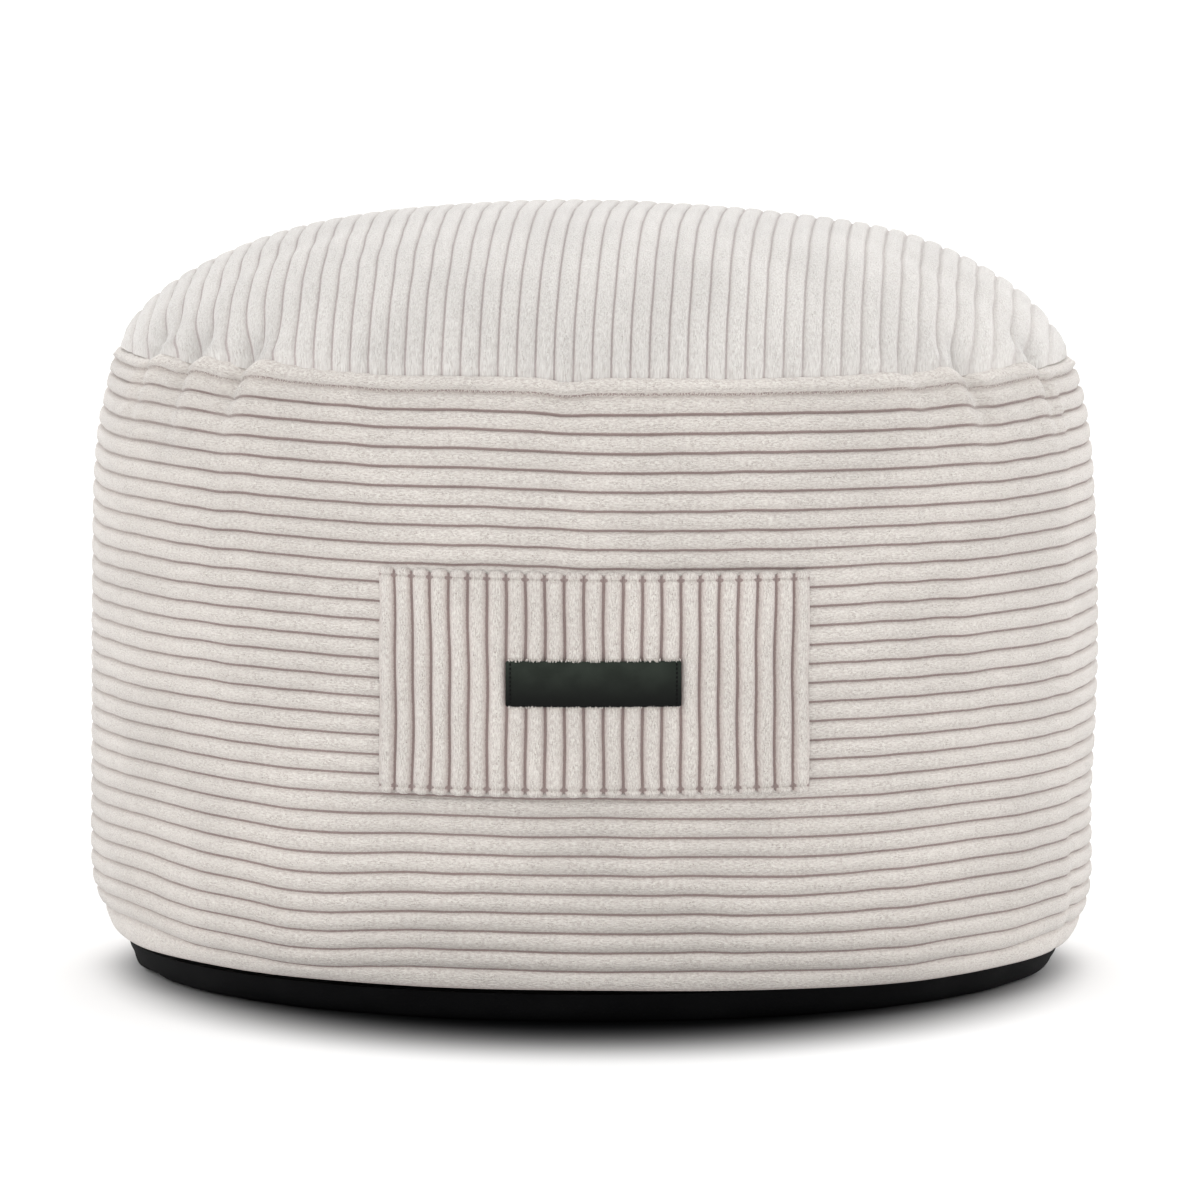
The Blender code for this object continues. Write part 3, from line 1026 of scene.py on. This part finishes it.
def make_top_cover():
    """The top panel: wales from front to back over the crown."""
    across = top_places()[None, :]
    even = np.linspace(-1.0, 1.0, TOP_ROWS)[:, None]
    share = 0.62 * np.sin(even * math.pi / 2) + 0.38 * even
    chord = np.sqrt(np.maximum(0.0, TOP_RADIUS**2 - across**2))
    along = share * chord
    radius = np.hypot(across + 0 * along, along)
    angle = np.arctan2(across + 0 * along, -along) + TOP_TURN
    from_rim = np.maximum(0.0, TOP_RADIUS - radius)
    angle = angle + pinch_towards_creases(angle, from_rim)
    ground = np.zeros_like(angle)
    rim_lift = line_rise(angle, SEAM_LINE) * np.exp(-from_rim / 0.050)
    softer = from_rim / 0.0035
    rim_lift += pucker_lift(angle, ground, softer) * np.exp(-from_rim / 0.0065)
    dent = 0.6 * pucker_dent(angle, ground, softer)
    dent = dent * np.exp(-((from_rim / 0.008) ** 1.4)) + 0.0007 * bell(from_rim / 0.0015)
    place_x = radius * np.sin(angle)
    place_y = -radius * np.cos(angle)
    hollow = -0.0018 * bell((place_x - 0.085) / 0.060) * bell(place_y / 0.15)
    soft = ripples(place_x, place_y, 0.090, 0.0004) * limited(from_rim / 0.03)
    tilt = -CROWN_TILT * place_x / TOP_RADIUS * eased(from_rim / 0.03)
    height = SEAM_HEIGHT + GAP + crown(radius) + rim_lift + hollow + soft + tilt
    if folds:
        row = np.interp(-radius, -top_rings(), np.arange(CAGE_RINGS + 1))
        dent = dent - TOP_FOLD * sampled(folds["top out"], row, angle)
        height = height + TOP_FOLD * sampled(folds["top up"], row, angle)
    base = on_drum(angle, radius - dent, height)
    normal = outward(base, wrap=False)
    flat = limited(chord / 0.02)
    phase = across / TOP_PITCH - TOP_PHASE
    held = 0.65 + 0.35 * limited(from_rim / 0.006)
    depth = TOP_RISE * held * (1.0 - wale_height(phase)) * flat
    sway = ripples(across * 0.35, along, 0.040, 0.00016) * limited(from_rim / 0.02)
    pile = random.normal(0.0, PILE_NOISE, base.shape[:2]) * flat
    base = base - normal * (depth - pile)[..., None]
    base[..., 0] += sway * flat
    cloth = np.stack([along, phase + 0 * along], axis=-1)
    # Painted shade beside the seam, most beside the puckers.
    tone = -painted_shade_by_pinches(angle, from_rim)
    piece = grid_piece("top_cover", base, cloth, tone=tone)
    with edited(piece) as shape:
        bmesh.ops.remove_doubles(shape, verts=shape.verts, dist=1e-5)
    cap_rims(piece, CAP_INSET, (SEAM_HEIGHT + 0.0006,))
    finish = corduroy("corduroy_top", TOP_SHADES, 0.88, 0.20, painted_fill=TOP_PAINTED_FILL)
    return finished(piece, finish)


# ---- base


def make_base_cover():
    """The black base: flat on the floor and bulging up to the hem."""
    turn = np.linspace(0.0, math.pi / 2, BASE_ROWS)[:, None]
    angle = np.linspace(0.0, math.tau, BASE_COLUMNS + 1)[None, :]
    top = HEM_HEIGHT - GAP
    reach = BASE_TOP_RADIUS - BASE_FLAT_RADIUS
    radius = BASE_FLAT_RADIUS + reach * np.sin(turn) ** 0.8
    height = top * (1.0 - np.cos(turn))
    loose = waves(angle, 3.0 * turn, (9, 34), 0.8, 0.0007) * np.sin(turn * 2)
    points = on_drum(angle + 0 * turn, radius + loose, height + 0 * angle)
    points[:, -1] = points[:, 0]
    cloth = np.stack([RADIUS * angle + 0 * turn, turn + 0 * angle], axis=-1)
    piece = grid_piece("base_cover", points, cloth, wrap=True)
    cap_rims(piece, CAP_INSET, (0.0, top))
    return finished(piece, base_cloth())


# ---- patch


def make_patch_cover():
    """The patch: a sheet with upright wales, pinched by the stitches near its ends."""
    place = wale_places(0, PATCH_WALES, PATCH_WALE_ROWS)[None, :]
    span = PATCH_TOP - PATCH_BOTTOM
    end_rows = np.linspace(0.0, PATCH_END, PATCH_END_ROWS + 1)
    middle_rows = np.linspace(PATCH_END, span - PATCH_END, PATCH_ROWS)[1:-1]
    rows = np.concatenate([end_rows, middle_rows, span - end_rows[::-1]])
    share = (rows / span)[:, None]
    from_end = np.minimum(share, 1.0 - share) * span
    angle = (place / PATCH_WALES * 2 - 1) * PATCH_HALF_ANGLE
    bow = 0.0010 * np.sin(math.pi * share) * (2 * place / PATCH_WALES - 1)
    angle = angle - bow / RADIUS
    pinch = np.where(from_end < PATCH_STITCH, *PATCH_PINCH)
    inside = np.abs(from_end - PATCH_STITCH) / pinch
    round_end = np.sqrt(1.0 - limited(1.0 - inside) ** 2)
    knob = limited(from_end / 0.0016) ** 0.5
    ends = np.abs(2.0 * (place - np.floor(place)) - 1.0)
    scallop = 0.0022 * ends**3.0 * np.sign(0.5 - share) * bell(from_end / 0.0028)
    lift = PATCH_BOTTOM + share * span + scallop
    tilt = -0.0010 * angle / PATCH_HALF_ANGLE * share
    lift = lift + tilt
    edge = np.minimum(place, PATCH_WALES - place)
    side_pinch = bell((edge - 0.32) / 0.10)
    rise = PATCH_RISE * wale_height(place, PATCH_SQUARE) * (0.30 + 0.70 * knob)
    rise = rise * (0.10 + 0.90 * round_end) * (1.0 - 0.35 * side_pinch)
    rim = PATCH_CLOTH + 0.0003 - PATCH_RISE
    fold = limited(from_end / 0.0006) ** 0.5 * limited(edge / 0.05) ** 0.5
    thickness = rim * fold + rise
    thickness = thickness + random.normal(0.0, 0.00004, thickness.shape)
    seat = side_radius(angle, lift) + GAP
    base = on_drum(angle, seat + thickness, lift)
    base[..., 0] += 0.00018 * np.sin(lift * 130.0 + place * 0.9)
    cloth = np.stack([share * span + 0 * place, place + 0 * share], axis=-1)
    piece = grid_piece("patch_cover", base, cloth)
    with edited(piece) as shape:
        back, _ = extruded(shape, [e for e in shape.edges if e.is_boundary])
        for vertex in back:
            turn = math.atan2(vertex.co.x, -vertex.co.y)
            radius = float(side_radius(turn, vertex.co.z)) + GAP
            vertex.co = on_drum(turn, radius, vertex.co.z)
    sewn = (PATCH_STITCH, span - PATCH_STITCH)
    finish = corduroy("corduroy_patch", SIDE_SHADES, 0.82, 0.55, sewn=sewn)
    return finished(piece, finish)


# ---- tag


def tag_seat(turn):
    """The radius of the tag's back, on the patch."""
    return float(side_radius(turn, TAG_MIDDLE)) + 2 * GAP + PATCH_CLOTH


def bevel_edges(piece, wanted, width, segments):
    """Bevels the edges that are wanted, in edit mode."""
    bpy.ops.mesh.select_all(action="DESELECT")
    shape = bmesh.from_edit_mesh(piece.data)
    for edge in shape.edges:
        edge.select_set(wanted(edge))
    bmesh.update_edit_mesh(piece.data)
    bpy.ops.mesh.bevel(offset=width, segments=segments)


def is_upright_corner(edge):
    return abs(edge.verts[0].co.y - edge.verts[1].co.y) > TAG_THICKNESS / 2


def is_face_rim(edge):
    front = [face.normal.y < -0.9 for face in edge.link_faces]
    return any(front) and not all(front)


def make_tag_cover():
    """The leather tag, bent round the drum and left bare."""
    select_only()
    bpy.ops.mesh.primitive_cube_add(size=1.0, location=(0.0, 0.0, 0.0))
    piece = bpy.context.object
    piece.name = "tag_cover"
    sized(piece, (TAG_WIDTH, TAG_THICKNESS, TAG_HEIGHT))
    bpy.ops.object.mode_set(mode="EDIT")
    bpy.ops.mesh.select_mode(type="EDGE")
    bevel_edges(piece, is_upright_corner, TAG_CORNER, 4)
    bevel_edges(piece, is_face_rim, TAG_RIM, 3)
    for across in np.linspace(-TAG_WIDTH / 2, TAG_WIDTH / 2, 26)[1:-1]:
        bpy.ops.mesh.select_all(action="SELECT")
        bpy.ops.mesh.bisect(plane_co=(across, 0, 0), plane_no=(1, 0, 0))
    bpy.ops.object.mode_set(mode="OBJECT")
    for vertex in piece.data.vertices:
        turn = vertex.co.x / tag_seat(0.0)
        lift = TAG_THICKNESS / 2 - vertex.co.y
        from_middle = 2 * vertex.co.z / TAG_HEIGHT
        lift -= TAG_PILLOW * from_middle**2 * lift / TAG_THICKNESS
        height = TAG_MIDDLE + vertex.co.z
        vertex.co = on_drum(turn, tag_seat(turn) + lift, height)
    finished(piece, leather())
    bpy.ops.object.shade_smooth_by_angle(angle=math.radians(35))
    return piece


def repeated(name, shape_piece, places):
    """One piece made of a small shape's copies, which are moved to their places."""
    shape = bmesh.new()
    for place in places:
        before = set(shape.verts)
        shape.from_mesh(shape_piece.data)
        fresh = [vertex for vertex in shape.verts if vertex not in before]
        bmesh.ops.transform(shape, matrix=place, verts=fresh)
    mesh = bpy.data.meshes.new(name)
    shape.to_mesh(mesh)
    shape.free()
    bpy.data.objects.remove(shape_piece)
    return placed(name, mesh)


def tag_face(turn, height):
    """The radius of the tag's face at a place on it."""
    from_middle = 2 * (height - TAG_MIDDLE) / TAG_HEIGHT
    return tag_seat(turn) + TAG_THICKNESS - TAG_PILLOW * from_middle**2


def make_tag_stitches():
    """Black stitches down both ends of the tag."""
    select_only()
    bpy.ops.mesh.primitive_uv_sphere_add(segments=8, ring_count=6, radius=1.0)
    stitch = bpy.context.object
    sized(stitch, STITCH_SIZE)
    places = []
    for end in (-1, 1):
        for number in range(STITCHES):
            share = (number + 0.5) / STITCHES - 0.5
            height = TAG_MIDDLE + share * TAG_HEIGHT * 0.94
            turn = end * (TAG_WIDTH / 2 - STITCH_INSET) / TAG_REACH
            middle = Vector(on_drum(turn, tag_face(turn, height), height))
            places.append(Matrix.Translation(middle) @ Matrix.Rotation(turn, 4, "Z"))
    piece = repeated("tag_stitches", stitch, places)
    black = thread("black_thread", (0.002, 0.002, 0.002, 1), (0.006, 0.006, 0.006, 1))
    return finished(piece, black)


def make_tag_pile():
    """Tufts of the patch's pile that stand over the tag's two long edges."""
    curve = bpy.data.curves.new("tag_pile", "CURVE")
    curve.dimensions = "3D"
    curve.bevel_depth = 0.00027
    curve.bevel_resolution = 0
    curve.use_fill_caps = True
    for edge in (-1, 1):
        rim = TAG_MIDDLE + edge * TAG_HEIGHT / 2
        for number in range(TUFTS):
            share = (number + random.uniform(0.1, 0.9)) / TUFTS - 0.5
            turn = share * TAG_WIDTH / TAG_REACH
            wale = (turn / PATCH_HALF_ANGLE + 1) / 2 * PATCH_WALES
            stands = float(wale_height(np.array(wale), PATCH_SQUARE))
            if stands < 0.45:
                continue
            face = tag_face(turn, rim)
            over = random.uniform(0.0, 1.0) ** 1.5 * 0.0007 * stands
            lean = random.uniform(-0.0003, 0.0003) / RADIUS
            route = (
                (turn, face - 0.0026, rim + edge * 0.0009, 1.0),
                (turn + lean, face - 0.0004, rim + edge * 0.0005, 1.0),
                (turn + 2 * lean, face + 0.0003, rim - edge * over, 0.55),
            )
            spline = curve.splines.new("POLY")
            spline.points.add(len(route) - 1)
            for point, (way, radius, height, thick) in zip(spline.points, route):
                point.co = (*on_drum(way, radius, height), 1.0)
                point.radius = thick
    piece = placed("tag_pile", curve)
    select_only(piece)
    bpy.ops.object.convert(target="MESH")
    tufts = thread("pile_tufts", SIDE_SHADES["deep"], SIDE_SHADES["pale"])
    return finished(piece, tufts)


# ---- studio


def make_floor():
    """A pale floor with a painted soft dark shade under and before the footstool."""
    select_only()
    bpy.ops.mesh.primitive_plane_add(size=60.0, location=(0, 0, 0))
    floor = bpy.context.object
    floor.name = "floor"
    made = Nodes("pale_floor_painted_shade")
    place = made.place()
    pale = made.mix(made.noise(place, 3.0), (0.95, 0.95, 0.95, 1), (0.97, 0.97, 0.97, 1))
    # Painted shadow: the floor's colour is dark round and before the base, fading out to
    # pale.
    right, back, _ = made.split(place)
    sideways = made.times(right, SHADE_NARROW)
    forwards = made.plus(back, SHADE_FORWARD)
    squares = made.plus(made.times(sideways, sideways), made.times(forwards, forwards))
    painted_lit_share = made.ramp(made.maths("SQRT", squares), SHADE_DARK, SHADE_PALE)
    painted_lit_share = made.maths("POWER", painted_lit_share, SHADE_SOFT)
    shade = made.mix(painted_lit_share, (0.008, 0.008, 0.009, 1), pale)
    floor.data.materials.append(made.finish(colour=shade, roughness=0.9, specular=0.05))


def make_studio():
    make_floor()
    world = bpy.data.worlds.new("studio")
    world.use_nodes = True
    background = world.node_tree.nodes["Background"]
    background.inputs["Color"].default_value = (1, 1, 1, 1)
    background.inputs["Strength"].default_value = AMBIENT
    bpy.context.scene.world = world
    for name, strength, direction in SUNS:
        sun = bpy.data.lights.new(name, "SUN")
        sun.energy = strength
        sun.angle = math.radians(SUN_SIZE)
        aim = -Vector(direction)
        placed(name, sun).rotation_euler = aim.to_track_quat("-Z", "Y").to_euler()
    glow = bpy.data.lights.new("bounce", "AREA")
    glow.energy = BOUNCE_POWER
    glow.shape = "RECTANGLE"
    glow.size, glow.size_y = BOUNCE_SIZE
    lamp = placed("bounce", glow)
    lamp.location = (0.0, -BOUNCE_AWAY, BOUNCE_SIZE[1] / 2 + 0.005)
    lamp.rotation_euler = (math.pi / 2, 0.0, 0.0)
    bpy.context.scene.view_settings.view_transform = "Standard"
    bpy.context.scene.view_settings.look = "None"


def make_camera():
    data = bpy.data.cameras.new("camera")
    data.sensor_width = SENSOR
    data.lens = LENS
    data.clip_end = 100.0
    camera = placed("camera", data)
    camera.location = (VIEW_SIDE, -VIEW_DISTANCE, VIEW_HEIGHT)
    camera.rotation_euler = (math.pi / 2 - VIEW_PITCH, 0, 0)
    bpy.context.scene.camera = camera


def dressed(make, node):
    """Makes a piece that stands for one of the frame's nodes, or for part of it."""
    piece = make()
    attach(piece, "root")
    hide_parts(node)
    piece.data.calc_loop_triangles()
    print(piece.name, len(piece.data.loop_triangles), "triangles")
    return piece


make_camera()
make_studio()
settle_cover()
side_cover = dressed(make_side_cover, "side_band")
top_cover = dressed(make_top_cover, "top_panel")
base_cover = dressed(make_base_cover, "base_panel")
patch_cover = dressed(make_patch_cover, "patch")
tag_cover = dressed(make_tag_cover, "tag")
tag_stitches = dressed(make_tag_stitches, "tag")
tag_pile = dressed(make_tag_pile, "patch")
